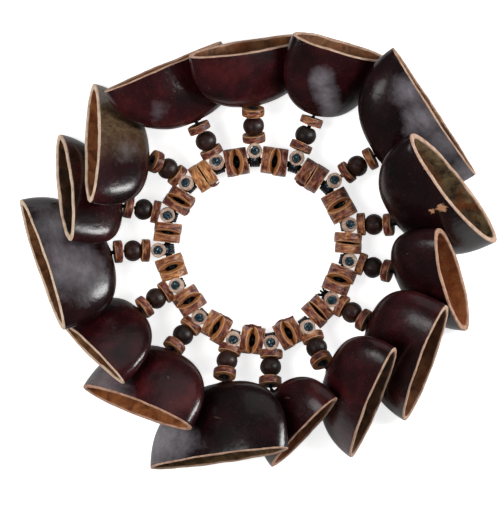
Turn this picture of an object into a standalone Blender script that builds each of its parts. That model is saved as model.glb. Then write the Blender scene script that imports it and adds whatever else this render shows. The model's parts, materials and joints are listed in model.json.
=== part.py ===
"""Nutshell shaker bracelet, lying flat as a ring of overlapping half nutshells.

A ring cord carries coconut-shell discs in pairs. Between two pairs a strand cord is tied round the ring cord,
with its knot on a small root bead above it. Each strand runs outwards through a disc, a round wooden bead and
another disc, and ends in a knot inside a half nutshell. The shells lie on the ground, and the anticlockwise
end of each one is raised over its neighbour. Each shell can turn on its strand, about the axis of its hole.
+Z is up, and sizes are in metres unless a name or a heading says otherwise.
"""

import math

import bmesh
import bpy
from mathutils import Matrix, Vector

MM = 0.001
UP = Vector((0, 0, 1))
EAST = Vector((1, 0, 0))
CREASE_ANGLE_DEG = 35

# Ring cord and its discs, which are as thick as the stretch between two roots leaves them
RING_RADIUS = 0.0338
RING_LOBE = 0.0010
RING_CORD_RADIUS = 0.0012
RING_DISC_RADIUS = 0.0051
RING_DISC_GAP = 0.0009
RING_SIDES = 10
TANGENT_STEP_DEG = 0.5

# Strand cords with their discs and knots
STRAND_CORD_RADIUS = 0.00075
STRAND_DISC_RADIUS = 0.00435
STRAND_DISC_THICKNESS = 0.0023
ROOT_BEAD_RADIUS = 0.0026
ROOT_BEAD_THICKNESS = 0.0028
KNOT_RADIUS = 0.0019
KNOT_HEIGHT = 0.0014
KNOT_PROFILE = ((0.0, 0.8), (0.4, 1.0), (1.0, 0.5))
STOPPER_RADIUS = 0.0013
STOPPER_LENGTH = 0.0026
STOPPER_PROFILE = ((0.2, 0.85), (0.6, 1.0), (1.0, 0.55))
ROOT_STIFFNESS = 0.35
SHELL_STIFFNESS = 0.2
ROUTE_STEPS = 60
STRAND_SIDES = 8
WRAP_SIDES = 6

# Round wooden beads
ROUND_BEAD_RADIUS = 0.0040
ROUND_BEAD_LENGTH = 0.0056
ROUND_BEAD_END_RADIUS = 0.0022
ROUND_BEAD_SHOULDER_PLACE = 0.55
ROUND_BEAD_SHOULDER_SWELL = 0.75
BEAD_BORE_RADIUS = 0.0013
BEAD_SIDES = 10

# Nutshell halves: the wall is measured across the side and at the crown, and a pointed end is thicker
SHELL_WALL = 0.0016
SHELL_END_WALL = 0.0026
SHELL_HOLE_RADIUS = 0.00125
SHELL_FULLNESS = 2.4
SHELL_POINT = 1.3
SHELL_LEAN = 1.5
SHELL_SIDES = 20
OUTER_LEVELS = (0.12, 0.35, 0.65, 1.0)
INNER_LEVELS = (1.0, 0.6, 0.25)

# Gaps: between pieces that touch, between beads on a strand, beside a root bead, at a shell's hole
CLEARANCE = 0.0003
BEAD_PLAY = 0.0005
ROOT_PLAY = 0.0005
SHELL_PLAY = 0.0006

# One row for each strand with its shell, clockwise from the top. Angles are in degrees and lengths in mm:
# bearing of the root on the ring, bearing of the shell's hole, bare cord to spare on the strand,
# heading of the mouth, its tilt upwards, the roll that raises the anticlockwise end,
# length, width and depth of the shell, and how far its hole lies towards the anticlockwise end.
STRANDS = (
    (92, 92, 3.2, 92, 15, 33, 54, 19, 23.5, 0),
    (66, 67, 3.7, 66, 18, 31, 42, 15.5, 29, -1.5),
    (41, 38, 4.2, 32, 7, 16, 59, 20, 28, -2.5),
    (14, 10, 1.8, 25, 25, 34, 59, 20.5, 28, -3.5),
    (-8, -10, 1.8, 2, 25, 35, 46, 18, 22.5, 4.5),
    (-35, -34, 0.2, -28, 18, 29, 51.5, 18, 27, 4),
    (-58, -60, 1.2, -31, 15, 37, 54, 17, 22, 3),
    (-82, -84, 2.5, -51, 14, 35, 42.5, 15, 20, 0.5),
    (-105, -104, 0.1, -86, 11, 27, 58, 20.5, 29, 4.5),
    (-130, -130, 0.1, -120, 17, 34, 51, 18, 26, 0.5),
    (-155, -152, 0, -142, 12, 40, 41.5, 14.5, 25, -2),
    (-179, -178, 4.2, -165, 14, 18, 54, 19, 27, 2.5),
    (160, 163, 1.9, 173, 25, 31, 45.5, 13, 23, 5),
    (138, 141, 0.8, 168, 18, 35, 53, 16.5, 23, 2),
    (116, 116, 1.8, 112, 6, 18, 50, 21, 24.5, -4),
)


def ring_centre(bearing):
    """Centre of the ring cord at a bearing in radians, on a loop that is a little three-cornered."""
    radius = RING_RADIUS + RING_LOBE * math.sin(3 * bearing)
    return Vector((radius * math.cos(bearing), radius * math.sin(bearing), RING_DISC_RADIUS))


def ring_tangent(bearing):
    """Direction of the ring cord, clockwise seen from above."""
    step = math.radians(TANGENT_STEP_DEG)
    return (ring_centre(bearing - step) - ring_centre(bearing + step)).normalized()


def material(name, colour, roughness):
    made = bpy.data.materials.new(name)
    made.use_nodes = True
    shader = made.node_tree.nodes["Principled BSDF"]
    shader.inputs["Base Color"].default_value = (*colour, 1.0)
    shader.inputs["Roughness"].default_value = roughness
    shader.inputs["Metallic"].default_value = 0.0
    made.diffuse_color = (*colour, 1.0)
    return made


def circle(centre, axis, radius, sides, start=UP):
    """Points of a circle round an axis, from the point that lies furthest towards start."""
    side = axis.cross(start).normalized()
    first = side.cross(axis)
    angles = [2 * math.pi * index / sides for index in range(sides)]
    return [centre + radius * (math.cos(angle) * first + math.sin(angle) * side) for angle in angles]


def turned(profile, sides):
    """Loops of a shape turned about Z, from a list of heights and radii."""
    return [circle(UP * height, UP, radius, sides, EAST) for height, radius in profile]


def skin(name, loops, closed, origin=Vector((0, 0, 0))):
    """A mesh over loops of points, joined end to end or capped at both ends."""
    shape = bmesh.new()
    rings = [[shape.verts.new(point - origin) for point in loop] for loop in loops]
    pairs = list(zip(rings, rings[1:]))
    if closed:
        pairs.append((rings[-1], rings[0]))
    else:
        shape.faces.new(reversed(rings[0]))
        shape.faces.new(rings[-1])
    for first, second in pairs:
        for index in range(len(first)):
            after = (index + 1) % len(first)
            shape.faces.new((first[index], first[after], second[after], second[index]))
    bmesh.ops.recalc_face_normals(shape, faces=shape.faces)
    mesh = bpy.data.meshes.new(name)
    shape.to_mesh(mesh)
    shape.free()
    return mesh


def place(name, mesh, surface, matrix, parent):
    """An object with its finish and its place under the parent."""
    mesh.materials.clear()
    mesh.materials.append(surface)
    mesh.shade_smooth()
    mesh.set_sharp_from_angle(angle=math.radians(CREASE_ANGLE_DEG))
    made = bpy.data.objects.new(name, mesh)
    made.parent = parent
    made.matrix_local = matrix
    bpy.context.scene.collection.objects.link(made)
    return made


def union(name, meshes):
    """One mesh that joins several solids into one body."""
    objects = [bpy.data.objects.new(f"{name}_{index}", mesh) for index, mesh in enumerate(meshes)]
    for made in objects:
        bpy.context.scene.collection.objects.link(made)
    for other in objects[1:]:
        join = objects[0].modifiers.new(other.name, "BOOLEAN")
        join.operation = "UNION"
        join.solver = "EXACT"
        join.object = other
    evaluated = objects[0].evaluated_get(bpy.context.evaluated_depsgraph_get())
    joined = bpy.data.meshes.new_from_object(evaluated)
    joined.name = name
    for made in objects:
        bpy.data.objects.remove(made)
    for mesh in meshes:
        bpy.data.meshes.remove(mesh)
    return joined


def disc_loops(centre, axis, disc_radius, cord_radius, thickness, sides):
    """The step out from a cord to a disc on it and back in again."""
    near = centre - axis * thickness / 2
    far = centre + axis * thickness / 2
    steps = ((near, cord_radius), (near, disc_radius), (far, disc_radius), (far, cord_radius))
    return [circle(point, axis, radius, sides) for point, radius in steps]


def ring_loops():
    """The ring cord clockwise from the first root, with a pair of discs between each two roots."""
    loops = []
    roots = [math.radians(row[0]) for row in STRANDS]
    for root, following in zip(roots, roots[1:] + roots[:1]):
        sweep = (root - following) % (2 * math.pi)
        loops.append(circle(ring_centre(root), ring_tangent(root), RING_CORD_RADIUS, RING_SIDES))
        room = sweep * (ring_centre(root - sweep / 2).xy.length)
        margin = ROOT_BEAD_RADIUS + ROOT_PLAY
        thickness = (room - 2 * margin - RING_DISC_GAP) / 2
        middles = (margin + thickness / 2, room - margin - thickness / 2)
        for middle in middles:
            bearing = root - sweep * middle / room
            loops += disc_loops(
                ring_centre(bearing), ring_tangent(bearing),
                RING_DISC_RADIUS, RING_CORD_RADIUS, thickness, RING_SIDES,
            )
    return loops


class Strand:
    """The frame of one shell and the route of the cord that leads to it."""

    def __init__(self, row, ground):
        root, hole, spare, heading, tilt, roll, length, width, depth, lean = row
        self.half_length = length * MM / 2
        self.half_width = width * MM / 2
        self.depth = depth * MM
        self.lean = lean * MM
        self.set_frame(math.radians(heading), math.radians(tilt), math.radians(roll))
        self.root_bearing = math.radians(root)
        self.root = ring_centre(self.root_bearing)
        stack = RING_DISC_RADIUS + CLEARANCE + 2 * STRAND_DISC_THICKNESS + ROUND_BEAD_LENGTH
        stack += 2 * BEAD_PLAY + SHELL_PLAY + spare * MM
        bearing = math.radians(hole)
        reach = ring_centre(bearing).xy.length + stack
        self.hole = Vector((reach * math.cos(bearing), reach * math.sin(bearing), ground))
        self.set_route()

    def set_frame(self, heading, tilt, roll):
        """Axes of the shell: along its mouth, across it, and out of it."""
        outwards = Vector((math.cos(heading), math.sin(heading), 0))
        sideways = Vector((-math.sin(heading), math.cos(heading), 0))
        self.axis = math.cos(tilt) * outwards + math.sin(tilt) * UP
        raised = -math.sin(tilt) * outwards + math.cos(tilt) * UP
        self.along = math.cos(roll) * sideways + math.sin(roll) * raised
        self.across = -math.sin(roll) * sideways + math.cos(roll) * raised

    def set_route(self):
        """Points of a smooth curve that leaves the ring squarely and enters the hole along its axis."""
        span = (self.hole - self.root).length
        normal = UP.cross(ring_tangent(self.root_bearing))
        first = self.root + normal * span * ROOT_STIFFNESS
        last = self.hole - self.axis * span * SHELL_STIFFNESS
        self.points = []
        for index in range(ROUTE_STEPS + 1):
            t = index / ROUTE_STEPS
            s = 1 - t
            point = s**3 * self.root + 3 * s * s * t * first + 3 * s * t * t * last + t**3 * self.hole
            self.points.append(point)
        self.distances = [0.0]
        for before, after in zip(self.points, self.points[1:]):
            self.distances.append(self.distances[-1] + (after - before).length)
        self.length = self.distances[-1]

    def at(self, distance):
        """Point and direction of the cord at a distance from the ring cord's centre."""
        if distance >= self.length:
            return self.hole + self.axis * (distance - self.length), self.axis
        index = next(i for i, value in enumerate(self.distances) if value > distance) - 1
        start, end = self.points[index], self.points[index + 1]
        share = (distance - self.distances[index]) / (end - start).length
        return start.lerp(end, share), (end - start).normalized()

    def set_beads(self):
        """Distances of the beads' middles, packed against the shell."""
        bend = self.at(self.length - 2 * STRAND_DISC_THICKNESS)[1].angle(self.axis)
        lead = SHELL_PLAY + STRAND_DISC_RADIUS * math.sin(bend)
        self.outer_disc = self.length - lead - STRAND_DISC_THICKNESS / 2
        step = STRAND_DISC_THICKNESS / 2 + BEAD_PLAY + ROUND_BEAD_LENGTH / 2
        self.round_bead = self.outer_disc - step
        self.inner_disc = self.round_bead - step


def shell_loops(strand):
    """Half a nutshell with its hole at the origin and its mouth towards +Z: outside, sawn rim, inside, hole."""
    bottom = strand.depth
    angles = [2 * math.pi * index / SHELL_SIDES for index in range(SHELL_SIDES)]

    def level(share, half_length, half_width, crown):
        swell = (1 - (1 - share) ** SHELL_FULLNESS) ** (1 / SHELL_FULLNESS)
        shift = strand.lean * ((1 - share) ** SHELL_LEAN - 1)
        loop = []
        for angle in angles:
            side = math.copysign(abs(math.sin(angle)) ** SHELL_POINT, math.sin(angle))
            x = shift + half_length * swell * math.cos(angle)
            y = half_width * swell * side
            loop.append(Vector((x, y, crown + share * (bottom - crown))))
        return loop

    def hole(half_length, half_width, crown):
        loop = []
        for angle in angles:
            x = SHELL_HOLE_RADIUS * math.cos(angle)
            y = SHELL_HOLE_RADIUS * math.sin(angle)
            spread = math.hypot(x / half_length, y / half_width)
            rise = 1 - (1 - spread**SHELL_FULLNESS) ** (1 / SHELL_FULLNESS)
            loop.append(Vector((x, y, crown + rise * (bottom - crown))))
        return loop

    outside = (strand.half_length, strand.half_width, 0)
    inside = (strand.half_length - SHELL_END_WALL, strand.half_width - SHELL_WALL, SHELL_WALL)
    loops = [hole(*outside)]
    loops += [level(share, *outside) for share in OUTER_LEVELS]
    loops += [level(share, *inside) for share in INNER_LEVELS]
    loops.append(hole(*inside))
    return loops


def shell_matrix(strand):
    turn = Matrix((strand.along, strand.across, strand.axis)).transposed()
    return Matrix.Translation(strand.hole) @ turn.to_4x4()


def disc_steps(middle):
    """Distances and radii of a disc on a strand cord."""
    near = middle - STRAND_DISC_THICKNESS / 2
    far = middle + STRAND_DISC_THICKNESS / 2
    return [
        (near, STRAND_CORD_RADIUS),
        (near, STRAND_DISC_RADIUS),
        (far, STRAND_DISC_RADIUS),
        (far, STRAND_CORD_RADIUS),
    ]


def strand_mesh(name, strand):
    """A strand cord with its two discs and its stopper, joined to its loop round the ring and its root bead."""
    stopper = strand.length + SHELL_WALL + SHELL_PLAY
    wrap_radius = (RING_CORD_RADIUS + CLEARANCE) / math.cos(math.pi / STRAND_SIDES) + STRAND_CORD_RADIUS
    profile = [(wrap_radius, STRAND_CORD_RADIUS)]
    profile += disc_steps(strand.inner_disc)
    profile.append((strand.round_bead, STRAND_CORD_RADIUS))
    profile += disc_steps(strand.outer_disc)
    profile.append((strand.length - SHELL_PLAY / 2, STRAND_CORD_RADIUS))
    profile.append((stopper, STRAND_CORD_RADIUS))
    for share, width in STOPPER_PROFILE:
        profile.append((stopper + share * STOPPER_LENGTH, width * STOPPER_RADIUS))
    loops = []
    for distance, radius in profile:
        point, direction = strand.at(distance)
        loops.append(circle(point, direction, radius, STRAND_SIDES))
    cord = skin(name, loops, False, strand.root)

    tangent = ring_tangent(strand.root_bearing)
    wrap_loops = []
    for index in range(STRAND_SIDES):
        spoke = Matrix.Rotation(2 * math.pi * index / STRAND_SIDES, 3, tangent) @ UP
        travel = tangent.cross(spoke)
        wrap_loops.append(circle(spoke * wrap_radius, travel, STRAND_CORD_RADIUS, WRAP_SIDES, spoke))
    wrap = skin(name, wrap_loops, True)

    high = wrap_radius + ROOT_BEAD_THICKNESS
    bead_profile = [(wrap_radius, ROOT_BEAD_RADIUS), (high, ROOT_BEAD_RADIUS)]
    for share, width in KNOT_PROFILE:
        bead_profile.append((high + share * KNOT_HEIGHT, width * KNOT_RADIUS))
    bead = skin(name, turned(bead_profile, STRAND_SIDES), False)
    return union(name, [cord, wrap, bead])


def round_bead_mesh(name):
    half = ROUND_BEAD_LENGTH / 2
    place_of_shoulder = half * ROUND_BEAD_SHOULDER_PLACE
    swell = ROUND_BEAD_SHOULDER_SWELL * (ROUND_BEAD_RADIUS - ROUND_BEAD_END_RADIUS)
    shoulder = ROUND_BEAD_END_RADIUS + swell
    profile = (
        (-half, BEAD_BORE_RADIUS),
        (-half, ROUND_BEAD_END_RADIUS),
        (-place_of_shoulder, shoulder),
        (0, ROUND_BEAD_RADIUS),
        (place_of_shoulder, shoulder),
        (half, ROUND_BEAD_END_RADIUS),
        (half, BEAD_BORE_RADIUS),
    )
    return skin(name, turned(profile, BEAD_SIDES), True)


def main():
    for existing in list(bpy.data.objects):
        bpy.data.objects.remove(existing)
    cord = material("ring_cord_and_discs", (0.33, 0.17, 0.10), 0.6)
    thread = material("strand_cord", (0.12, 0.09, 0.08), 0.7)
    wood = material("dark_wood", (0.035, 0.018, 0.014), 0.5)
    nut = material("nutshell", (0.045, 0.016, 0.018), 0.25)

    bracelet = bpy.data.objects.new("bracelet", None)
    bpy.context.scene.collection.objects.link(bracelet)
    place("ring_cord", skin("ring_cord", ring_loops(), True), cord, Matrix.Identity(4), bracelet)

    corners = []
    for number, row in enumerate(STRANDS, start=1):
        lying = Strand(row, 0)
        loops = shell_loops(lying)
        pose = shell_matrix(lying).to_3x3()
        ground = -min((pose @ point).z for loop in loops for point in loop)
        strand = Strand(row, ground)
        strand.set_beads()
        matrix = shell_matrix(strand)
        corners += [matrix @ point for loop in loops for point in loop]
        shell_name = f"nutshell_{number:02d}"
        place(shell_name, skin(shell_name, loops, True), nut, matrix, bracelet)
        cord_name = f"strand_cord_{number:02d}"
        at_root = Matrix.Translation(strand.root)
        place(cord_name, strand_mesh(cord_name, strand), thread, at_root, bracelet)
        bead_name = f"round_bead_{number:02d}"
        point, direction = strand.at(strand.round_bead)
        turn = direction.to_track_quat("Z", "Y").to_matrix().to_4x4()
        place(bead_name, round_bead_mesh(bead_name), wood, Matrix.Translation(point) @ turn, bracelet)

    middle = [(min(p[axis] for p in corners) + max(p[axis] for p in corners)) / 2 for axis in (0, 1)]
    bracelet.location = (-middle[0], -middle[1], 0)
    bpy.context.view_layer.update()


main()
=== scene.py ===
"""Looks of the nutshell shaker bracelet: polished half nutshells, coconut discs, wooden beads, twisted cord.

Each piece stands where its CAD node stands and rides on the same body. Lengths are in metres. The points of
a piece also hold its own coordinates in millimetres, as "mm", so that every pattern has a real size.
"""

import json
import math

import bpy
import numpy as np
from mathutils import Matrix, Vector, noise


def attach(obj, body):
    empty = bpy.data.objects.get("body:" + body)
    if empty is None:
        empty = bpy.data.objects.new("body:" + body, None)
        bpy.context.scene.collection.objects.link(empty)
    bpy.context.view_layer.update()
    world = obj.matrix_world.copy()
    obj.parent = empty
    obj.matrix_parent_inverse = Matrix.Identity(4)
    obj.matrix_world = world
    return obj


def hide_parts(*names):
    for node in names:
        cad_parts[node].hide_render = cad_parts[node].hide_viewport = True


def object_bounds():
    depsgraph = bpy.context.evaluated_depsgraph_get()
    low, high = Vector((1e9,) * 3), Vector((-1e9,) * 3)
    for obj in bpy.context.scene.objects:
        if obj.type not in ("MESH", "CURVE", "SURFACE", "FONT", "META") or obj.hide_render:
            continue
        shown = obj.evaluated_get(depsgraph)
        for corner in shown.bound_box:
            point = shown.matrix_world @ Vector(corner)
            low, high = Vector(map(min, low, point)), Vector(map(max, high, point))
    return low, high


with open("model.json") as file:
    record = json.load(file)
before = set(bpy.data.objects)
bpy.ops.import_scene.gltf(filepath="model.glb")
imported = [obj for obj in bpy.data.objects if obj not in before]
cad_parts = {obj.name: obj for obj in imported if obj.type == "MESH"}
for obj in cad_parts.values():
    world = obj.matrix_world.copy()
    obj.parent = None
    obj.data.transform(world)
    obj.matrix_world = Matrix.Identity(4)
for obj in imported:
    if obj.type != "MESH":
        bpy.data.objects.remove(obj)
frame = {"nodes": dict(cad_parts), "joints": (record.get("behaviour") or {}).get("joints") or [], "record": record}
cad_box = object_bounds()

MM = 0.001
UP = np.array((0.0, 0.0, 1.0))

# Ring and strands, as in the CAD source
RING_CENTRE = np.array(frame["record"]["mounts"][0]["pos_m"])
RING_RADIUS = 0.0338
RING_LOBE = 0.0010
ROOTS = (92, 66, 41, 14, -8, -35, -58, -82, -105, -130, -155, -179, 160, 138, 116)
ROOT_ROOM = 0.0026
ROOT_STIFFNESS = 0.35
SHELL_STIFFNESS = 0.2
STRAND_DISC_THICKNESS = 0.0023
STRAND_DISC_RADIUS = 0.00435
BEAD_LENGTH = 0.0056
BEAD_PLAY = 0.0005
SHELL_PLAY = 0.0006
SHELL_WALL = 0.0016
SHELL_END_WALL = 0.0026
SHELL_HOLE_RADIUS = 0.00125
SHELL_FULLNESS = 2.4
SHELL_POINT = 1.05
SHELL_LEAN = 1.5
SHELL_COLUMNS = 128
LIP_ROOM = 0.9 * MM

# Discs of coconut shell. The bores of the ring discs are wider than their cord, so that a dark hole shows, and
# each disc of a pair reaches a little past the middle between them, so that no white slit is left
RING_DISC_RADIUS = 0.0051
RING_DISC_BORE = 0.0023
RING_DISC_OVERLAP = 0.12 * MM
SHOWN_DISC_THICKNESS = 0.0029
STRAND_DISC_BORE = 0.0009

# Root beads with the coiled knot on top
ROOT_BEAD_RADIUS = 0.0028
ROOT_BEAD_THICKNESS = 0.0025
ROOT_BEAD_BORE = 0.0018
ROOT_BEAD_HEIGHT = 0.0019
ROOT_BEAD_REACH = 0.0036
KNOT_CORD = 0.00052
KNOT_STEM = 0.0017

# Round beads
BEAD_RADIUS = 0.0040
BEAD_MOUTH = 0.0013
BEAD_BORE = 0.00105

# Cords: the core of the ring has three plies and a strand has two. A strand is wound round the ring four times,
# and ends in a stopper knot inside its shell
CORE_PLY = 0.00062
CORE_TURNS = 30
STRAND_PLY = 0.00040
STRAND_PITCH = 0.0034
WRAP_RADIUS = 0.0020
WRAP_PLY = 0.00056
WRAP_COUNT = 4
WRAP_SPREAD = 0.0018
STRAND_END = 0.0030
STOPPER_SIZE = 0.0011
STOPPER_PLY = 0.00042
HUSK_RADIUS = 0.00042
FRAYED_RADIUS = 0.00034

# How each shell looks, clockwise from the top, from 0 to 1: red skin, strength of its grey places (dry skin
# and painted sheen), olive bloom on the skin, orange inside, olive inside, pale rim. Then the thickness of its
# wall against the CAD's
SHELLS = (
    (0.85, 0.35, 0.00, 0.60, 0.35, 0.40, 0.85),
    (0.45, 1.00, 0.00, 0.40, 0.20, 0.50, 0.80),
    (0.15, 0.85, 0.00, 0.20, 0.30, 0.30, 0.85),
    (0.15, 0.15, 0.00, 0.60, 0.90, 0.50, 1.15),
    (0.30, 0.10, 0.00, 1.00, 0.10, 0.15, 1.10),
    (0.60, 0.10, 0.00, 0.35, 0.15, 0.50, 0.85),
    (0.75, 0.10, 0.00, 0.15, 0.15, 0.45, 0.85),
    (0.60, 0.15, 0.00, 0.45, 0.10, 0.20, 0.90),
    (0.10, 1.00, 0.00, 0.10, 0.35, 0.35, 0.85),
    (0.90, 0.65, 0.00, 0.60, 0.10, 0.10, 0.90),
    (0.75, 0.15, 0.00, 0.20, 0.20, 0.80, 0.95),
    (0.25, 0.80, 0.00, 0.20, 0.10, 1.00, 1.15),
    (0.60, 0.20, 0.10, 0.00, 0.00, 0.90, 1.15),
    (0.60, 0.45, 1.00, 0.55, 0.10, 1.00, 1.20),
    (0.80, 0.40, 0.00, 0.60, 0.30, 0.30, 0.85),
)

# Grey places on the skin, partly dry where the oil has worn off and partly painted sheen: shell number, x, y
# and reach in mm. A shell without a row here has hardly any, whatever its strength above
DRY_AND_SHEEN_PLACES = (
    (12, -69, -6, 18),
    (12, -76, 10, 12),
    (9, -36, -68, 19),
    (3, 56, 60, 10),
    (3, 62, 49, 13),
    (3, 69, 39, 13),
    (3, 76, 30, 10),
    (10, -55, -51, 13),
    (2, 24, 64, 7),
    (2, 25.5, 59, 7),
    (2, 27, 54, 6),
    (15, -37, 52, 7),
    (14, -50, 38, 9),
)

# Chips in the skin at the rim, which show the bare tan shell: shell number, x, y and reach in mm
CHIPS = (
    (4, 68.2, 16.2, 3.7),
    (4, 64.6, 15.2, 2.2),
    (8, 39.6, -59.9, 3.0),
    (6, 71.0, -19.0, 2.4),
)

# Pairs of ring discs, clockwise from the first: how far their facing sides are cut back above, in degrees,
# and how orange they are
PAIRS = (
    (22, 0.05),
    (4, 0.00),
    (23, 0.15),
    (7, 0.35),
    (21, 0.05),
    (13, 0.10),
    (24, 0.10),
    (26, 0.15),
    (23, 0.35),
    (20, 0.15),
    (22, 0.55),
    (12, 0.25),
    (17, 0.10),
    (6, 1.00),
    (26, 0.10),
)

# Pairs with husk fibres on their inner edges, counted from 0
HUSK_PAIRS = (1, 6, 7, 8, 12, 13)

# The camera looks straight down. Its picture is 522 pixels high, of 0.3745 mm each at VIEW_LEVEL
LENS = 400
SENSOR_MM = 36
VIEW_HEIGHT = 0.1955
VIEW_CENTRE = (-0.0033, -0.0035)
VIEW_LEVEL = 0.015

# Glow that brings the lit paper up to white, for the camera and in gloss, and the light of the world
FLOOR_GLOW = 0.76
GLOSS_GLOW = 0.15
WORLD_LIGHT = 0.10

# Lamps: name, place, size, power, and whether gloss shows them. The large left one would show as a grey
# window on the polished skins, so a small weak one stands in for it there
LAMPS = (
    ("left_softbox", (-0.42, -0.05, 0.48), (0.44, 0.50), 2.7, False),
    ("left_sheen", (-0.34, -0.02, 0.50), (0.12, 0.18), 0.34, True),
    ("right_softbox", (0.53, 0.08, 0.33), (0.11, 0.34), 2.8, True),
    ("back_softbox", (0.05, 0.60, 0.50), (0.90, 0.60), 0.8, True),
)


# Materials


def linear(colour):
    """A colour written as sRGB hex, as the linear red, green, blue and alpha that a shader reads."""
    channels = [int(colour[place:place + 2], 16) / 255 for place in (1, 3, 5)]
    return [c / 12.92 if c <= 0.04045 else ((c + 0.055) / 1.055) ** 2.4 for c in channels] + [1.0]


def add(tree, kind, inputs=None, stops=(), **settings):
    """A shader node with its settings, its values or links by socket, and the stops of its ramp."""
    made = tree.nodes.new("ShaderNode" + kind)
    for key, value in settings.items():
        setattr(made, key, value)
    for socket, value in (inputs or {}).items():
        if isinstance(value, bpy.types.NodeSocket):
            tree.links.new(value, made.inputs[socket])
        else:
            made.inputs[socket].default_value = value
    for index, (position, colour) in enumerate(stops):
        ramp = made.color_ramp
        element = ramp.elements[index] if index < 2 else ramp.elements.new(position)
        element.position = position
        element.color = linear(colour)
    return made


def finish(name, roughness, **fixed):
    """A new material with its tree, its shader and the piece's coordinates in millimetres."""
    made = bpy.data.materials.new(name)
    made.use_nodes = True
    shader = made.node_tree.nodes["Principled BSDF"]
    shader.inputs["Roughness"].default_value = roughness
    for key, value in fixed.items():
        shader.inputs[key].default_value = value
    mm = add(made.node_tree, "Attribute", attribute_name="mm").outputs["Vector"]
    return made, made.node_tree, shader, mm


def grain(tree, mm, size, stretch=(1, 1, 1), detail=4, roughness=0.6, distortion=0):
    """Noise whose features have a size in mm, drawn out along the axes where stretch is small."""
    scaled = add(tree, "VectorMath", {0: mm, 1: [s / size for s in stretch]}, operation="MULTIPLY")
    settings = {"Vector": scaled.outputs[0], "Scale": 1, "Detail": detail, "Roughness": roughness}
    return add(tree, "TexNoise", {**settings, "Distortion": distortion}).outputs[0]


def relief(tree, shader, heights):
    """Bump from several heights, each with a depth in mm."""
    normal = None
    for height, depth in heights:
        inputs = {"Height": height, "Distance": depth * MM, "Strength": 1}
        if normal:
            inputs["Normal"] = normal
        normal = add(tree, "Bump", inputs).outputs["Normal"]
    tree.links.new(normal, shader.inputs["Normal"])


def polished_nutshell():
    """Ripe nutshell, scraped and oiled: near-black maroon with a soft gloss, pits and fine scratches."""
    gloss = {"IOR": 1.4, "Coat Weight": 0.2, "Coat Roughness": 0.16}
    made, tree, shader, mm = finish("polished_nutshell", 0.3, **gloss)
    red = add(tree, "Attribute", attribute_name="red").outputs["Fac"]
    dryness_and_sheen = add(tree, "Attribute", attribute_name="dryness_and_sheen").outputs["Fac"]
    bloom = add(tree, "Attribute", attribute_name="bloom").outputs["Fac"]
    worn = add(tree, "Attribute", attribute_name="worn").outputs["Fac"]
    clouds = grain(tree, mm, 11)
    dark = add(tree, "ValToRGB", {0: clouds}, [(0.35, "#080405"), (0.55, "#10070a"), (0.75, "#1b0b0e")])
    warm = add(tree, "ValToRGB", {0: clouds}, [(0.35, "#1a0608"), (0.55, "#370e12"), (0.75, "#541b1d")])
    skin = add(tree, "Mix", {0: red, 6: dark.outputs[0], 7: warm.outputs[0]}, data_type="RGBA").outputs[2]

    # Grey patches: partly dry skin where the oil has worn off, partly painted sheen
    border = add(tree, "Math", {0: grain(tree, mm, 8), 1: dryness_and_sheen}, operation="ADD").outputs[0]
    border = add(tree, "MapRange", {0: border, 1: 0.68, 2: 1.45}).outputs[0]
    patches = grain(tree, mm, 4, stretch=(0.4, 1, 1), detail=9, roughness=0.8)
    patches = add(tree, "MapRange", {0: patches, 1: 0.30, 2: 0.68, 3: 0.3}).outputs[0]
    patches = add(tree, "Math", {0: patches, 1: border}, operation="MULTIPLY").outputs[0]
    grey_and_sheen = add(tree, "Math", {0: patches, 1: 0.8}, operation="MULTIPLY").outputs[0]
    skin = add(tree, "Mix", {0: grey_and_sheen, 6: skin, 7: linear("#948f96")}, data_type="RGBA").outputs[2]

    # Mottled olive bloom
    mottle = grain(tree, mm, 2.0, detail=8, roughness=0.8)
    mottle = add(tree, "MapRange", {0: mottle, 1: 0.30, 2: 0.75}).outputs[0]
    mottle = add(tree, "Math", {0: mottle, 1: bloom}, operation="MULTIPLY").outputs[0]
    skin = add(tree, "Mix", {0: mottle, 6: skin, 7: linear("#857052")}, data_type="RGBA").outputs[2]

    # Pits of about a third of a millimetre, and scratches drawn a little wider than they are
    pits = grain(tree, mm, 0.45, detail=2)
    pits = add(tree, "MapRange", {0: pits, 1: 0.62, 2: 0.78}).outputs[0]
    specks = add(tree, "Math", {0: pits, 1: 0.22}, operation="MULTIPLY").outputs[0]
    skin = add(tree, "Mix", {0: specks, 6: skin, 7: linear("#75655c")}, data_type="RGBA").outputs[2]
    scratches = grain(tree, mm, 0.9, stretch=(0.05, 1, 0.16), detail=3, distortion=0.3)
    scratches = add(tree, "MapRange", {0: scratches, 1: 0.69, 2: 0.73, 4: 0.2}).outputs[0]
    skin = add(tree, "Mix", {0: scratches, 6: skin, 7: linear("#8d7465")}, data_type="RGBA").outputs[2]

    # Bare tan shell at chips and along the sawn edge, with a ragged border
    ragged = grain(tree, mm, 1.1, detail=5)
    bare = add(tree, "Math", {0: worn, 1: ragged}, operation="ADD").outputs[0]
    bare = add(tree, "MapRange", {0: bare, 1: 1.0, 2: 1.08}).outputs[0]
    skin = add(tree, "Mix", {0: bare, 6: skin, 7: linear("#c08d68")}, data_type="RGBA").outputs[2]
    tree.links.new(skin, shader.inputs["Base Color"])

    rough = add(tree, "MapRange", {0: patches, 1: 0.0, 2: 0.6, 3: 0.22, 4: 0.42}).outputs[0]
    rough = add(tree, "Math", {0: rough, 1: bare}, operation="MAXIMUM").outputs[0]
    tree.links.new(rough, shader.inputs["Roughness"])
    hammered = grain(tree, mm, 1.1, stretch=(1, 1, 0.5), detail=4)
    relief(tree, shader, [(clouds, 0.35), (hammered, 0.05), (pits, 0.02), (scratches, 0.03)])
    return made


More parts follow.
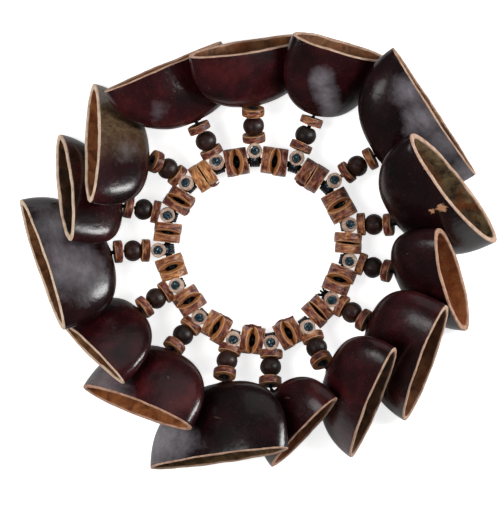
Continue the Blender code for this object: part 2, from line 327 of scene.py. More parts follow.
def sawn_nut_edge():
    """The wall of the nut where it was sawn through and left bare: pale tan, dry, with darker pores."""
    made, tree, shader, mm = finish("sawn_nut_edge", 0.78)
    wood = grain(tree, mm, 2.6, detail=7, roughness=0.65)
    paleness = add(tree, "Attribute", attribute_name="pale").outputs["Fac"]
    tan = add(tree, "ValToRGB", {0: wood}, [(0.28, "#80563f"), (0.50, "#b0826a"), (0.75, "#cda68a")])
    fair = add(tree, "ValToRGB", {0: wood}, [(0.28, "#a98a72"), (0.50, "#d3b8a0"), (0.75, "#e5d2be")])
    pale = add(tree, "Mix", {0: paleness, 6: tan.outputs[0], 7: fair.outputs[0]}, data_type="RGBA").outputs[2]
    pores = grain(tree, mm, 0.5, detail=3)
    pores = add(tree, "MapRange", {0: pores, 1: 0.60, 2: 0.72, 4: 0.4}).outputs[0]
    pale = add(tree, "Mix", {0: pores, 6: pale, 7: linear("#7a4d30")}, data_type="RGBA").outputs[2]
    tree.links.new(pale, shader.inputs["Base Color"])
    relief(tree, shader, [(wood, 0.25), (pores, 0.08)])
    return made


def raw_nut_inside():
    """The inside of the nut as it grew: brown and fibrous, orange or olive in places, with dark hollows."""
    made, tree, shader, mm = finish("raw_nut_inside", 0.68)
    orange = add(tree, "Attribute", attribute_name="orange").outputs["Fac"]
    olive = add(tree, "Attribute", attribute_name="olive").outputs["Fac"]
    deep = add(tree, "Attribute", attribute_name="deep").outputs["Fac"]
    clouds = grain(tree, mm, 5.5, detail=8, roughness=0.68, distortion=0.5)
    brown = add(tree, "ValToRGB", {0: clouds}, [(0.34, "#150d08"), (0.52, "#3b2414"), (0.68, "#643f24")])
    rusty = add(tree, "ValToRGB", {0: clouds}, [(0.30, "#6a3418"), (0.50, "#ad6030"), (0.70, "#cd8348")])
    grey = add(
        tree, "ValToRGB", {0: clouds},
        [(0.36, "#2c2216"), (0.47, "#6e6043"), (0.60, "#92805c"), (0.72, "#a98f66")],
    )
    colours = {0: orange, 6: brown.outputs[0], 7: rusty.outputs[0]}
    inside = add(tree, "Mix", colours, data_type="RGBA").outputs[2]
    zones = grain(tree, mm, 13, detail=3, distortion=0.8)
    zones = add(tree, "MapRange", {0: zones, 1: 0.36, 2: 0.52}).outputs[0]
    zones = add(tree, "Math", {0: zones, 1: olive}, operation="MULTIPLY").outputs[0]
    inside = add(tree, "Mix", {0: zones, 6: inside, 7: grey.outputs[0]}, data_type="RGBA").outputs[2]

    # Dark hollows, and shade towards the crown where no polish or light gets in
    hollows = grain(tree, mm, 3.4, detail=6, roughness=0.7)
    hollows = add(tree, "MapRange", {0: hollows, 1: 0.60, 2: 0.70}).outputs[0]
    hollows = add(tree, "Math", {0: hollows, 1: 0.8}, operation="MULTIPLY").outputs[0]
    inside = add(tree, "Mix", {0: hollows, 6: inside, 7: linear("#1a110a")}, data_type="RGBA").outputs[2]
    shade = add(tree, "MapRange", {0: deep, 1: 0.1, 2: 0.9, 4: 0.65}).outputs[0]
    inside = add(tree, "Mix", {0: shade, 6: inside, 7: linear("#1d130c")}, data_type="RGBA").outputs[2]
    tree.links.new(inside, shader.inputs["Base Color"])

    fibres = grain(tree, mm, 0.8, stretch=(0.15, 1, 0.5), detail=4)
    relief(tree, shader, [(clouds, 0.6), (hollows, -0.3), (fibres, 0.12)])
    return made


def coconut_edge():
    """The worn round edge of a coconut-shell disc: red-brown with lines along it, paler towards one face."""
    made, tree, shader, mm = finish("coconut_edge", 0.3)
    tone = add(tree, "Attribute", attribute_name="tone").outputs["Fac"]
    layer = add(tree, "Attribute", attribute_name="layer").outputs["Fac"]
    lines = grain(tree, mm, 0.8, stretch=(1, 0.28, 0.28), detail=5, roughness=0.6, distortion=0.4)
    brown = add(tree, "ValToRGB", {0: lines}, [(0.34, "#240d0b"), (0.50, "#5f2c24"), (0.64, "#985d4e")])
    tawny = add(tree, "ValToRGB", {0: lines}, [(0.34, "#5c2d17"), (0.50, "#b4713f"), (0.64, "#e0a86f")])
    patch = grain(tree, mm, 2.6, detail=4)
    patch = add(tree, "MapRange", {0: patch, 1: 0.38, 2: 0.62, 3: -0.3, 4: 0.4}).outputs[0]
    share = add(tree, "Math", {0: tone, 1: patch}, operation="ADD", use_clamp=True).outputs[0]
    edge = add(tree, "Mix", {0: share, 6: brown.outputs[0], 7: tawny.outputs[0]}, data_type="RGBA").outputs[2]
    corner = add(tree, "Math", {0: layer, 1: 0.5}, operation="SUBTRACT").outputs[0]
    corner = add(tree, "Math", {0: corner}, operation="ABSOLUTE").outputs[0]
    paler = add(tree, "MapRange", {0: corner, 1: 0.40, 2: 0.48, 4: 0.9}).outputs[0]
    edge = add(tree, "Mix", {0: paler, 6: edge, 7: linear("#d3a273")}, data_type="RGBA").outputs[2]
    tree.links.new(edge, shader.inputs["Base Color"])
    relief(tree, shader, [(lines, 0.3), (patch, 0.15)])
    return made


def coconut_face(name, dark, tawny, light):
    """The drilled face of a coconut-shell disc: orange-tan, dry and fibrous, with painted shade round the hole."""
    made, tree, shader, mm = finish(name, 0.7)
    tone = add(tree, "Attribute", attribute_name="tone").outputs["Fac"]
    reach = add(tree, "Attribute", attribute_name="reach").outputs["Fac"]
    fibres = grain(tree, mm, 0.9, stretch=(1, 1, 0.35), detail=7, roughness=0.7)
    tan = add(tree, "ValToRGB", {0: fibres}, [(0.30, dark), (0.50, tawny), (0.70, light)])
    red = add(tree, "ValToRGB", {0: fibres}, [(0.30, "#4f2718"), (0.50, "#874a31"), (0.70, "#ab6f4a")])
    bright = add(tree, "MapRange", {0: tone, 1: 0.0, 2: 0.6, 3: 0.6, 4: 1.0}).outputs[0]
    face = add(tree, "Mix", {0: bright, 6: red.outputs[0], 7: tan.outputs[0]}, data_type="RGBA").outputs[2]
    # Painted shade: darkest on the wall of the bore, fading across the face near the hole
    bore_shade = add(tree, "MapRange", {0: reach, 1: 0.53, 2: 0.46}).outputs[0]
    face = add(tree, "Mix", {0: bore_shade, 6: face, 7: linear("#120a07")}, data_type="RGBA").outputs[2]
    tree.links.new(face, shader.inputs["Base Color"])
    relief(tree, shader, [(fibres, 0.2)])
    return made


def turned_wood():
    """Dark turned wood with a waxed skin: nearly black, with brown grain along the bead."""
    made, tree, shader, mm = finish("turned_wood", 0.42)
    tone = add(tree, "Attribute", attribute_name="tone").outputs["Fac"]
    lines = grain(tree, mm, 0.8, stretch=(0.25, 1, 1), detail=5, distortion=0.4)
    black = add(tree, "ValToRGB", {0: lines}, [(0.36, "#080505"), (0.55, "#180f0e"), (0.74, "#2e1d19")])
    brown = add(tree, "ValToRGB", {0: lines}, [(0.36, "#170b0a"), (0.55, "#331b16"), (0.74, "#523127")])
    wood = add(tree, "Mix", {0: tone, 6: black.outputs[0], 7: brown.outputs[0]}, data_type="RGBA").outputs[2]
    tree.links.new(wood, shader.inputs["Base Color"])
    relief(tree, shader, [(lines, 0.1)])
    return made


def waxed_cord(name, hollow, ply, glint, worn):
    """Waxed cotton, with painted shade on its low fibres and painted pale glints on its raised ones."""
    made, tree, shader, mm = finish(name, 0.38)
    fibres = grain(tree, mm, 0.45, stretch=(1, 1, 0.25), detail=4, distortion=0.5)
    # The ramp paints shade where the bump lowers the fibres and glints where it raises them; worn is where the
    # glints begin
    colour = add(
        tree, "ValToRGB", {0: fibres},
        [(0.36, hollow), (0.50, ply), (worn, ply), (worn + 0.1, glint)],
    ).outputs[0]
    tree.links.new(colour, shader.inputs["Base Color"])
    relief(tree, shader, [(fibres, 0.08)])
    return made


def studio_floor():
    """A pale sweep of paper. It shows white to the camera and in gloss, and keeps a faint shadow."""
    made = bpy.data.materials.new("studio_paper")
    made.use_nodes = True
    tree = made.node_tree
    shader = tree.nodes["Principled BSDF"]
    shader.inputs["Roughness"].default_value = 0.9
    shader.inputs["Specular IOR Level"].default_value = 0.1
    fibres = add(tree, "TexNoise", {"Scale": 900, "Detail": 3}).outputs[0]
    paper = add(tree, "ValToRGB", {0: fibres}, [(0.3, "#eeeeee"), (0.7, "#f2f2f2")]).outputs[0]
    tree.links.new(paper, shader.inputs["Base Color"])
    path = add(tree, "LightPath").outputs
    seen = add(tree, "Math", {0: path["Is Camera Ray"], 1: FLOOR_GLOW}, operation="MULTIPLY").outputs[0]
    gloss = add(tree, "Math", {0: path["Is Glossy Ray"], 1: GLOSS_GLOW}, operation="MULTIPLY").outputs[0]
    glow = add(tree, "Math", {0: seen, 1: gloss}, operation="MAXIMUM").outputs[0]
    tree.links.new(glow, shader.inputs["Emission Strength"])
    shader.inputs["Emission Color"].default_value = linear("#ffffff")
    return made


# Meshes


def ripple(points, size, seed):
    """Smooth noise from about -1 to 1 at points in mm, with features of a size in mm."""
    offset = Vector((seed * 7.31, seed * 3.17, seed * 5.73))
    values = [noise.noise(Vector(point) + offset) for point in points.reshape(-1, 3) / size]
    return np.array(values).reshape(points.shape[:-1])


def unit(vector):
    """A vector of length 1 with the same direction."""
    return vector / np.linalg.norm(vector)


def piece(name, patches, finishes, body, nodes=()):
    """A smooth mesh from patches of rows of points, each with its mm, its finish by row and its marks."""
    points, mm, faces, paints = [], [], [], []
    marks = {key: [] for key in patches[0].get("marks", {})}
    for patch in patches:
        rows = patch["rows"]
        count, sides = rows.shape[:2]
        start = sum(len(block) for block in points)
        points.append(np.clip(rows.reshape(-1, 3), *cad_box))
        mm.append(patch["mm"].reshape(-1, 3))
        for key, value in patch.get("marks", {}).items():
            marks[key].append(np.broadcast_to(value, rows.shape[:2]).reshape(-1))
        closed = patch.get("closed", True)
        quads = []
        for row in range(count if closed else count - 1):
            after = (row + 1) % count
            for side in range(sides):
                turn = (side + 1) % sides
                corners = (row * sides + side, row * sides + turn, after * sides + turn, after * sides + side)
                quads.append([start + corner for corner in corners])
                paints.append(patch.get("paint", [0] * count)[row])
        if not closed:
            quads.append([start + side for side in reversed(range(sides))])
            quads.append([start + (count - 1) * sides + side for side in range(sides)])
            paints += [0, 0]
        corners = np.concatenate(points)
        volume = sum(np.dot(corners[q[0]], np.cross(corners[q[1]], corners[q[2]])) for q in quads)
        volume += sum(
            np.dot(corners[q[0]], np.cross(corners[q[2]], corners[q[3]])) for q in quads if len(q) == 4
        )
        faces += quads if volume > 0 else [list(reversed(quad)) for quad in quads]
    mesh = bpy.data.meshes.new(name)
    mesh.from_pydata(np.concatenate(points).tolist(), [], faces)
    for material in finishes:
        mesh.materials.append(material)
    mesh.polygons.foreach_set("material_index", paints)
    local = mesh.attributes.new("mm", "FLOAT_VECTOR", "POINT")
    local.data.foreach_set("vector", np.concatenate(mm).astype(np.float32).reshape(-1))
    for key, values in marks.items():
        mark = mesh.attributes.new(key, "FLOAT", "POINT")
        mark.data.foreach_set("value", np.concatenate(values).astype(np.float32))
    mesh.shade_smooth()
    mesh.set_sharp_from_angle(angle=math.radians(40))
    made = bpy.data.objects.new(name, mesh)
    bpy.context.scene.collection.objects.link(made)
    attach(made, body)
    if nodes:
        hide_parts(*nodes)


def travel(points, closed=False):
    """Directions along a line of points, with two normals that turn as little as they can."""
    if closed:
        ahead = np.roll(points, -1, 0) - np.roll(points, 1, 0)
    else:
        ahead = np.gradient(points, axis=0)
    ahead /= np.linalg.norm(ahead, axis=1)[:, None]
    first = np.cross(ahead[0], UP if abs(ahead[0][2]) < 0.9 else (1, 0, 0))
    normals = []
    for direction in ahead:
        first = unit(first - direction * np.dot(first, direction))
        normals.append(first)
    normals = np.array(normals)
    return ahead, normals, np.cross(ahead, normals)


def tube(points, radius, sides=7, closed=False, taper=0):
    """A patch round a line of points. taper thins its last points down to a tip."""
    _, normals, sideways = travel(points, closed)
    steps = np.linalg.norm(np.diff(points, axis=0), axis=1)
    distance = np.concatenate(([0.0], np.cumsum(steps)))
    width = np.full(len(points), radius)
    if taper:
        width[-taper:] *= np.linspace(1, 0.25, taper)
    angles = np.linspace(0, 2 * math.pi, sides, endpoint=False)
    rows = points[:, None] + width[:, None, None] * (
        np.cos(angles)[None, :, None] * normals[:, None] + np.sin(angles)[None, :, None] * sideways[:, None]
    )
    mm = np.stack(
        np.broadcast_arrays(
            np.cos(angles)[None] * radius / MM, np.sin(angles)[None] * radius / MM, distance[:, None] / MM
        ),
        axis=2,
    )
    return {"rows": rows, "mm": mm, "closed": closed}


def twisted(points, plies, ply_radius, turns, closed=False, start=0.0):
    """Patches of a twisted cord: plies that wind round each other along a line of points."""
    _, normals, sideways = travel(points, closed)
    share = np.linspace(0, 1, len(points), endpoint=not closed)
    reach = ply_radius / math.sin(math.pi / plies) if plies > 2 else ply_radius
    patches = []
    for ply in range(plies):
        angle = start + 2 * math.pi * (ply / plies + share * turns)
        offset = np.cos(angle)[:, None] * normals + np.sin(angle)[:, None] * sideways
        patches.append(tube(points + 0.94 * reach * offset, ply_radius, 7, closed))
    return patches


def trefoil(centre, axis, size, ply_radius, spin):
    """A patch of cord in a flat three-lobed knot that lies across an axis."""
    side = unit(np.cross(axis, (0.3, 1, 0.1)))
    across = np.cross(axis, side)
    angle = np.linspace(0, 2 * math.pi, 72, endpoint=False)
    reach = (2 + np.cos(3 * angle)) * size / 3
    along = np.cos(2 * angle + spin) * reach
    over = np.sin(2 * angle + spin) * reach
    height = np.sin(3 * angle) * ply_radius * 1.05
    line = centre + along[:, None] * side + over[:, None] * across + height[:, None] * axis
    return tube(line, ply_radius, 7, closed=True)


def coil(centre, axis, spin):
    """The line of a small knot seen from above: a loop that winds in to a raised middle."""
    side = unit(np.cross(axis, (0.3, 1, 0.1)))
    across = np.cross(axis, side)
    share = np.linspace(0, 1, 90)
    angle = spin + share * 3.6 * math.pi
    reach = 0.00135 * (1 - share) ** 0.8 + 0.00015
    height = -0.0008 + 0.0019 * np.sin(share * math.pi * 0.62)
    ripples = 0.00025 * np.sin(angle * 2.5 + spin)
    return (
        centre + (np.cos(angle) * reach)[:, None] * side + (np.sin(angle) * reach)[:, None] * across
        + (height + ripples)[:, None] * axis
    )


def disc(centre, axis, radius, thickness, bore, cups, tone, seed, upright=UP, slope=0, uneven=0.035):
    """A patch of a drilled disc. cups hollow its faces, and slope cuts back the second one, above."""
    side = unit(np.cross(axis, upright))
    first = np.cross(side, axis)
    angles = np.linspace(0, 2 * math.pi, 44, endpoint=False)
    half = thickness / 2
    bevel = 0.00018
    middle = (bore + radius) / 2
    shape = [
        (-half + cups[0], bore, 1), (-half + 0.7 * cups[0], 0.4 * bore + 0.6 * middle, 1),
        (-half + 0.25 * cups[0], 0.4 * middle + 0.6 * radius, 1), (-half, radius - 1.6 * bevel, 1),
        (-half + 0.2 * bevel, radius - 0.5 * bevel, 0), (-half + 1.4 * bevel, radius, 0),
        (-0.2 * half, 1.015 * radius, 0), (0.3 * half, 1.01 * radius, 0), (half - 1.4 * bevel, radius, 0),
        (half - 0.2 * bevel, radius - 0.5 * bevel, 0), (half, radius - 1.6 * bevel, 1),
        (half - 0.25 * cups[1], 0.4 * middle + 0.6 * radius, 1),
        (half - 0.7 * cups[1], 0.4 * bore + 0.6 * middle, 1), (half - cups[1], bore, 1), (0, bore, 1),
    ]
    rows, mm, layer, reach = [], [], [], []
    for place, out, _ in shape:
        spokes = np.cos(angles)[:, None] * first + np.sin(angles)[:, None] * side
        width = out * (1 + uneven * ripple(spokes * 1.3 + seed * 1.7, 1.0, seed) * (out > bore))
        cut = slope * out * np.maximum(0, np.cos(angles)) * (place + half) / thickness
        level = place * (1 + 0.05 * np.cos(angles + seed)) - cut
        spot = centre + level[:, None] * axis + width[:, None] * spokes
        rows.append(spot)
        own = np.column_stack((level, np.cos(angles) * width, np.sin(angles) * width)) / MM
        mm.append(own + seed * 3.7)
        layer.append(np.full(len(angles), 0.5 + place / thickness))
        reach.append(np.full(len(angles), out / radius))
    marks = {"tone": tone, "layer": np.array(layer), "reach": np.array(reach)}
    rows = np.array(rows)
    mm = np.array(mm)
    rows += (0.11 * MM * ripple(mm, 1.4, seed))[..., None] * axis
    return {"rows": rows, "mm": mm, "paint": [p for _, _, p in shape], "marks": marks}


# Shells


def shell_frame(number):
    """Place, axes and sizes of a shell, from its joint and the corners of its CAD node."""
    joint = next(j for j in frame["joints"] if j["name"] == f"swivel_{number:02d}")
    origin = np.array(joint["pos_m"])
    axis = unit(np.array(joint["axis"]))
    corners = np.array([v.co for v in frame["nodes"][f"nutshell_{number:02d}"].data.vertices]) - origin
    depth = (corners @ axis).max()
    mouth = corners[corners @ axis > depth - 0.1 * MM]
    mouth = mouth - np.outer(mouth @ axis, axis)
    _, _, directions = np.linalg.svd(mouth - mouth.mean(0))
    along = unit(directions[0] - axis * np.dot(directions[0], axis))
    along *= np.sign(along[2])
    across = np.cross(axis, along)
    ends = mouth @ along
    half_length = (ends.max() - ends.min()) / 2
    lean = -(ends.max() + ends.min()) / 2
    half_width = np.abs(mouth @ across).max()
    return origin, along, across, axis, half_length, half_width, depth, lean


def nutshell(number):
    """Half a nutshell: polished skin, sawn rim with worn corners, and the rough inside."""
    origin, along, across, axis, half_length, half_width, depth, lean = shell_frame(number)
    red, dryness_and_sheen, bloom, orange, olive, pale, thick = SHELLS[number - 1]
    angles = np.linspace(0, 2 * math.pi, SHELL_COLUMNS, endpoint=False)
    rounded = np.sign(np.sin(angles)) * np.abs(np.sin(angles)) ** SHELL_POINT

    def wall(length, width, crown, bottom, steps):
        """Rows of one skin from its hole to its mouth, and how far down the nut each row is."""
        turns = np.linspace(math.asin(0.26 ** (SHELL_FULLNESS / 2)), math.pi / 2, steps)
        swells = np.sin(turns) ** (2 / SHELL_FULLNESS)
        shares = 1 - np.clip(np.cos(turns), 0, 1) ** (2 / SHELL_FULLNESS)
        shares[-1] = 1
        rows = []
        for swell, share in zip(swells, shares):
            shift = lean * ((1 - share) ** SHELL_LEAN - 1)
            x = shift + length * swell * np.cos(angles)
            y = width * swell * rounded
            rows.append(np.column_stack((x, y, np.full(len(angles), crown + share * (bottom - crown)))))
        ring = SHELL_HOLE_RADIUS * np.column_stack((np.cos(angles), np.sin(angles), np.zeros(len(angles))))
        ring[:, 2] = crown + 0.05 * MM
        crown_rows = [ring + (rows[0] - ring) * np.array((t, t, t**1.6)) for t in (0, 0.12, 0.3, 0.52, 0.76)]
        return np.array(crown_rows + rows), np.concatenate((np.zeros(5), shares))

    outer, outer_share = wall(half_length, half_width, 0, depth, 34)
    inner, inner_share = wall(
        half_length - 0.8 * thick * SHELL_END_WALL, half_width - thick * SHELL_WALL, SHELL_WALL, depth, 26
    )

    # The sawn lip is rubbed round: inset from the skin and drop below the mouth, in mm
    rounding = ((0.0, 0.55), (0.03, 0.32), (0.12, 0.14), (0.26, 0.04), (0.45, 0.0))
    lips = []
    for row, sign, steps in ((outer[-1], 1, rounding), (inner[-1], -1, rounding[::-1])):
        outwards = (row - np.array((-lean, 0, 0))) * (1, 1, 0)
        outwards /= np.linalg.norm(outwards, axis=1)[:, None]
        for inset, drop in steps:
            lip = row - sign * inset * MM * outwards
            lip[:, 2] = depth - drop * MM
            lips.append(lip)
    below_lip = outer[:, 0, 2] < depth - LIP_ROOM
    outer, outer_share = outer[below_lip], outer_share[below_lip]
    below_lip = inner[:, 0, 2] < depth - LIP_ROOM
    inner, inner_share = inner[below_lip], inner_share[below_lip]
    own = np.concatenate((outer, lips, inner[::-1])) / MM
    skins = len(outer)
    share = np.concatenate((outer_share, np.ones(len(lips)), inner_share[::-1]))

    # Hand-sawn and grown shapes: dents of a few tenths of a millimetre, a wavy saw line and an uneven wall
    inwards = own - np.array((-lean / MM, 0, 0.55 * depth / MM))
    inwards /= np.linalg.norm(inwards, axis=2)[..., None]
    spare = (1 - 0.6 * share)[:, None]
    dents = ripple(own, 13, number) - 0.35
    is_inside = np.arange(len(own)) >= skins + len(rounding)
    rough_inside = 0.35 * dents + 0.3 * ripple(own, 4, number + 20)
    depth_of_dent = np.where(is_inside[:, None], rough_inside, 0.42 * spare * dents)
    depth_of_dent[:2] = 0
    depth_of_dent[-2:] = 0
    pushed = np.where(is_inside[:, None], depth_of_dent, np.minimum(depth_of_dent, 0))
    own = own + inwards * pushed[..., None]
    saw_line = 0.24 * ripple(own * (1, 0.3, 0), 9, number + 40) + 0.07 * ripple(own, 2.2, number + 60) - 0.15
    own[..., 2] += saw_line * np.clip((share - 0.8) / 0.2, 0, 1)[:, None]

    rows = origin + MM * (own[..., :1] * along + own[..., 1:2] * across + own[..., 2:] * axis)
    from_rim = depth / MM - own[..., 2]
    worn = 0.62 * np.clip(1 - (from_rim - 0.4) / 0.8, 0, 1)
    # The grey places mark dry skin and also painted sheen
    dry = np.zeros(own.shape[:2])
    for places, mark, most in ((CHIPS, worn, 1.0), (DRY_AND_SHEEN_PLACES, dry, 1.15 * dryness_and_sheen)):
        for shell, x, y, reach in places:
            if shell == number:
                away = np.hypot(rows[..., 0] / MM - x, rows[..., 1] / MM - y)
                np.maximum(mark, most * np.clip(1 - away / reach, 0, 1), out=mark)
    bloom_here = bloom * np.clip(0.35 + (rows[..., 1] - rows[..., 1].mean()) / (14 * MM), 0, 1)
    marks = {
        "red": red, "dryness_and_sheen": dry, "bloom": bloom_here, "worn": worn,
        "orange": orange, "olive": olive, "pale": pale, "deep": 1 - share[:, None] * np.ones(len(angles)),
    }
    paint = [0] * skins + [1] * (len(lips) - 1) + [2] * (len(inner) + 1)
    patch = {"rows": rows, "mm": own + number * 41.3, "paint": paint, "marks": marks}
    name = f"nutshell_{number:02d}"
    piece("shell_of_" + name, [patch], (SKIN, RIM, INSIDE), f"shell_{number:02d}", [name])


# Ring


def ring_point(bearing):
    """Centre of the ring cord at a bearing in radians, on a loop that is a little three-cornered."""
    radius = RING_RADIUS + RING_LOBE * math.sin(3 * bearing)
    return RING_CENTRE + radius * np.array((math.cos(bearing), math.sin(bearing), 0))


def ring_direction(bearing):
    """Direction of the ring cord, clockwise seen from above."""
    return unit(ring_point(bearing - 0.01) - ring_point(bearing + 0.01))


def ring_cord():
    """The core cord of the ring, of three plies, closed on itself."""
    bearings = np.linspace(2 * math.pi, 0, 720, endpoint=False)
    line = np.array([ring_point(bearing) for bearing in bearings])
    patches = twisted(line, 3, CORE_PLY, CORE_TURNS, closed=True)
    piece("braided_ring_cord", patches, (CORE,), "bracelet", ["ring_cord"])


def ring_discs():
    """Two discs between each root and the next. They meet, and their facing sides part above."""
    roots = [math.radians(root) for root in ROOTS]
    for index, (root, following) in enumerate(zip(roots, roots[1:] + roots[:1])):
        gape, tone = PAIRS[index]
        sweep = (root - following) % (2 * math.pi)
        middle = root - sweep / 2
        room = sweep * np.linalg.norm(ring_point(middle) - RING_CENTRE)
        free = room - 2 * ROOT_ROOM
        slope = math.tan(math.radians(gape))
        for which, sign in (("a", -1), ("b", 1)):
            seed = index * 2.3 + (sign + 1) * 0.57 + 1
            thickness = 0.5 * free + 0.1 * MM
            place = sign * (thickness / 2 - RING_DISC_OVERLAP)
            direction = ring_direction(middle)
            outwards = unit(np.cross(direction, UP))
            direction = unit(direction + 0.07 * math.sin(index * 2.9) * outwards)
            radius = RING_DISC_RADIUS + 0.00018 * math.sin(seed * 3.3)
            shade = tone + 0.12 * math.sin(seed * 7.7)
            centre = ring_point(middle - place * sweep / room) + UP * (radius - 0.0049)
            centre += 0.00025 * math.sin(seed * 4.7) * outwards
            cups = (0.00015, 0.0002)
            facing = -sign * direction
            patch = disc(
                centre, facing, radius, thickness, RING_DISC_BORE, cups, shade, seed, UP, slope, uneven=0.055
            )
            name = f"ring_disc_{index + 1:02d}_{which}"
            piece(name, [patch], (EDGE, FACE), "bracelet")


def fibres(name, place, direction, count, reach, radius, finishes, slot):
    """Thin fibres that stand out from a place, fan out and curl, each with its own length."""
    share = np.linspace(0, 1, 14)[:, None]
    patches = []
    for index in range(count):
        turn = np.array((math.sin(index * 2.7), math.sin(index * 4.1), 0.5 * math.sin(index * 5.3)))
        length = reach * (0.7 + 0.3 * math.sin(index * 3.3))
        start = place + 0.15 * reach * turn * (1, 1, 0.4)
        line = start + length * (share * unit(direction + 0.45 * turn) + 0.28 * share**2 * turn[[1, 0, 2]])
        patches.append(tube(line, radius, 6, taper=9))
    piece(name, patches, finishes, "bracelet")


def ring_fibres():
    """Husk fibres left along the inner edges of some discs, and the frayed end of one knot."""
    roots = [math.radians(root) for root in ROOTS]
    share = np.linspace(0, 1, 18)
    for index in HUSK_PAIRS:
        sweep = (roots[index] - roots[(index + 1) % len(roots)]) % (2 * math.pi)
        patches = []
        for strip in range(3):
            first = 0.20 + 0.12 * strip + 0.05 * math.sin(index * 2.1)
            bearings = roots[index] - sweep * (first + (0.30 + 0.05 * math.sin(index + strip)) * share)
            bulge = 0.0003 + 0.0003 * math.sin(index * 1.7 + strip * 2.3)
            reach = -0.0049 - bulge * np.sin(share * math.pi) - 0.0001 * strip
            outwards = np.column_stack((np.cos(bearings), np.sin(bearings), np.zeros(len(share))))
            line = np.array([ring_point(bearing) for bearing in bearings]) + reach[:, None] * outwards
            line[:, 2] += 0.0010 - 0.0009 * strip + 0.0003 * np.sin(share * 7)
            patch = tube(line, HUSK_RADIUS, 6, taper=8)
            patch["marks"] = {"tone": 0.1, "layer": 0.5, "reach": 1.0}
            patches.append(patch)
        piece(f"husk_fibres_{index + 1:02d}", patches, (EDGE,), "bracelet")
    inwards = unit(RING_CENTRE - ring_point(roots[5]))
    place = ring_point(roots[5]) + 0.0020 * inwards + 0.0008 * UP
    fibres("frayed_end_06", place, inwards + 0.5 * UP, 12, 0.0040, FRAYED_RADIUS, (THREAD,), "strand_cord")


# Strands


def strand_route(number):
    """The line of a strand cord from the ring cord's centre through the hole of its shell, and its length."""
    origin, _, _, axis = shell_frame(number)[:4]
    bearing = math.radians(ROOTS[number - 1])
    root = ring_point(bearing)
    span = np.linalg.norm(origin - root)
    squarely = unit(np.cross(UP, ring_direction(bearing)))
    first = root + squarely * span * ROOT_STIFFNESS
    last = origin - axis * span * SHELL_STIFFNESS
    t = np.linspace(0, 1, 241)[:, None]
    s = 1 - t
    line = s**3 * root + 3 * s * s * t * first + 3 * s * t * t * last + t**3 * origin
    length = np.linalg.norm(np.diff(line, axis=0), axis=1).sum()
    beyond = np.linspace(0.0001, 0.0034, 24)[:, None]
    return np.concatenate((line, origin + beyond * axis)), length, axis


def along_route(line, distance):
    """Point and direction at a distance along a line of points."""
    lengths = np.concatenate(([0.0], np.cumsum(np.linalg.norm(np.diff(line, axis=0), axis=1))))
    point = np.array([np.interp(distance, lengths, line[:, k]) for k in range(3)])
    ahead = np.array([np.interp(distance + 0.0002, lengths, line[:, k]) for k in range(3)])
    return point, unit(ahead - point)


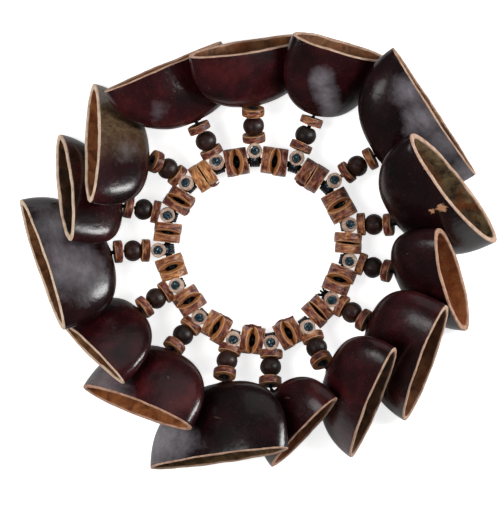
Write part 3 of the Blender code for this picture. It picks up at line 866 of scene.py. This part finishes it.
def strand(number):
    """One strand from its turns round the ring to its knot in the shell, with its beads and discs."""
    line, length, axis = strand_route(number)
    before_shell = along_route(line, length - 2 * STRAND_DISC_THICKNESS)[1]
    bend = math.sqrt(max(0, 1 - float(np.dot(before_shell, axis)) ** 2))
    outer = length - SHELL_PLAY - STRAND_DISC_RADIUS * bend - STRAND_DISC_THICKNESS / 2
    step = STRAND_DISC_THICKNESS / 2 + BEAD_PLAY + BEAD_LENGTH / 2
    # As photographed, bead and inner disc lie further in and the root bead further out, where there is room
    slack = outer - 2 * step - 0.0043
    slide = min(max(0.35 * slack, 0), 0.0010)
    middle = outer - step - 0.0002 - slide
    inner = middle - step - 0.0003
    root_offset = min(max(slack - slide - 0.0007, 0.0003), ROOT_BEAD_REACH)
    label = f"{number:02d}"
    tail = np.array([along_route(line, d)[0] for d in np.linspace(WRAP_RADIUS, length + STRAND_END, 150)])
    turns = (length + STRAND_END - WRAP_RADIUS) / STRAND_PITCH
    patches = twisted(tail, 2, STRAND_PLY, turns, start=number)

    # Turns round the ring cord, then the knot on the root bead
    bearing = math.radians(ROOTS[number - 1])
    root = ring_point(bearing)
    tangent = ring_direction(bearing)
    outwards = unit(np.cross(UP, tangent))
    angle = np.linspace(0, 2 * WRAP_COUNT * math.pi, 130)
    drift = np.linspace(-WRAP_SPREAD, WRAP_SPREAD, 130)
    loop = root + WRAP_RADIUS * (np.cos(angle)[:, None] * outwards + np.sin(angle)[:, None] * UP)
    patches.append(tube(loop + drift[:, None] * tangent, WRAP_PLY, 9))
    stop = along_route(line, length + SHELL_WALL + SHELL_PLAY + 0.0006)[0]
    patches.append(trefoil(stop, axis, STOPPER_SIZE, STOPPER_PLY, number))
    piece("twisted_strand_" + label, patches, (THREAD,), "bracelet", ["strand_cord_" + label])

    nod = np.array((math.sin(number * 2.1), math.cos(number * 1.7), 0)) * 0.26
    up = unit(UP + nod + 0.15 * outwards)
    seat = root + UP * (WRAP_RADIUS + STRAND_PLY * 2 + ROOT_BEAD_HEIGHT) + root_offset * outwards
    bead_tone = 0.45 + 0.3 * math.sin(number * 2.9)
    bead = disc(
        seat, up, ROOT_BEAD_RADIUS, ROOT_BEAD_THICKNESS, ROOT_BEAD_BORE, (0.0001, 0.0003),
        bead_tone, number * 1.9, tangent,
    )
    piece("root_bead_" + label, [bead], (ROOT, ROOT), "bracelet")
    stem = np.linspace(root + UP * WRAP_RADIUS + 0.3 * root_offset * outwards, seat + up * 0.0008, 8)
    knot = [tube(stem, KNOT_STEM, 16), tube(coil(seat + up * 0.0009, up, number * 1.3), KNOT_CORD, 9)]
    piece("root_knot_" + label, knot, (KNOT,), "bracelet")

    for which, distance, tone in (("inner", inner, 0.02), ("outer", outer, 0.08)):
        point, direction = along_route(line, distance)
        seed = number * 3.1 + distance * 100
        tilt = 0.06 * np.array((math.sin(seed * 3), math.sin(seed * 5), math.sin(seed * 7)))
        facing = unit(direction + tilt) * (1 if which == "inner" else -1)
        patch = disc(
            point, facing, STRAND_DISC_RADIUS - 0.0001, SHOWN_DISC_THICKNESS, STRAND_DISC_BORE,
            (0.0001, 0.0002), tone + 0.2 * math.sin(seed * 4), seed,
        )
        piece(f"{which}_disc_{label}", [patch], (EDGE, FACE), "bracelet")

    point, direction = along_route(line, middle)
    round_bead(number, point, direction)


def round_bead(number, centre, axis):
    """A turned bead, fuller than a ball, with a drilled hole and a small flat at each end."""
    side = unit(np.cross(axis, UP))
    first = np.cross(side, axis)
    angles = np.linspace(0, 2 * math.pi, 40, endpoint=False)
    turns = np.linspace(-1, 1, 21) * math.radians(64)
    half = BEAD_LENGTH / 2 + 0.0004
    profile = [(half * math.sin(t) / math.sin(turns[-1]), BEAD_RADIUS * math.cos(t) ** 0.85) for t in turns]
    profile += [(half - 0.0001, BEAD_MOUTH), (half - 0.0005, BEAD_BORE)]
    profile += [(-half + 0.0005, BEAD_BORE), (-half + 0.0001, BEAD_MOUTH)]
    spokes = np.cos(angles)[:, None] * first + np.sin(angles)[:, None] * side
    rows = np.array([centre + place * axis + out * spokes for place, out in profile])
    mm = np.array([
        np.column_stack((np.full(len(angles), place), out * np.cos(angles), out * np.sin(angles)))
        for place, out in profile
    ]) / MM + number * 9.1
    rows += (0.00006 * ripple(mm, 2.5, number))[..., None] * spokes[None]
    patch = {"rows": rows, "mm": mm, "marks": {"tone": 0.5 + 0.4 * math.sin(number * 2.3)}}
    label = f"{number:02d}"
    piece("turned_bead_" + label, [patch], (WOOD,), "bracelet", ["round_bead_" + label])


# Studio


def studio():
    """Paper floor, plain light from a pale world and soft lamps, and the camera straight above."""
    bpy.ops.mesh.primitive_plane_add(size=4)
    floor = bpy.context.object
    floor.name = "studio_floor"
    floor.data.materials.append(studio_floor())

    world = bpy.data.worlds.new("studio")
    world.use_nodes = True
    bpy.context.scene.world = world
    tree = world.node_tree
    sky = tree.nodes["Background"]
    path = add(tree, "LightPath")
    strength = add(tree, "MapRange", {0: path.outputs["Is Camera Ray"], 3: WORLD_LIGHT, 4: 1.0}).outputs[0]
    tree.links.new(strength, sky.inputs["Strength"])
    sky.inputs["Color"].default_value = linear("#ffffff")

    for name, place, size, power, in_gloss in LAMPS:
        lamp = bpy.data.lights.new(name, "AREA")
        lamp.shape = "RECTANGLE"
        lamp.size, lamp.size_y = size
        lamp.energy = power
        made = bpy.data.objects.new(name, lamp)
        made.location = place
        made.visible_glossy = in_gloss
        made.rotation_euler = (-Vector(place)).to_track_quat("-Z", "Y").to_euler()
        bpy.context.scene.collection.objects.link(made)

    camera = bpy.data.cameras.new("above")
    camera.lens = LENS
    camera.sensor_fit = "VERTICAL"
    camera.sensor_height = SENSOR_MM
    camera.clip_start = 0.01
    above = bpy.data.objects.new("above", camera)
    above.location = (*VIEW_CENTRE, VIEW_HEIGHT * LENS / SENSOR_MM + VIEW_LEVEL)
    bpy.context.scene.collection.objects.link(above)
    bpy.context.scene.camera = above
    bpy.context.scene.view_settings.view_transform = "Standard"


SKIN = polished_nutshell()
RIM = sawn_nut_edge()
INSIDE = raw_nut_inside()
EDGE = coconut_edge()
FACE = coconut_face("coconut_face", "#74431f", "#b87a48", "#dba878")
ROOT = coconut_face("coconut_bead_end", "#8f6a58", "#cbab97", "#ead9cb")
WOOD = turned_wood()
# Each cord: painted shade, its own colour, painted glint, and where the glints begin
CORE = waxed_cord("waxed_core_cord", "#040608", "#0c1317", "#33454c", 0.66)
THREAD = waxed_cord("waxed_strand_cord", "#05080a", "#101a20", "#4b676f", 0.64)
KNOT = waxed_cord("waxed_knot", "#030607", "#11303c", "#c6d9dc", 0.58)

for shell_number in range(1, len(ROOTS) + 1):
    nutshell(shell_number)
    strand(shell_number)
ring_cord()
ring_discs()
ring_fibres()
studio()
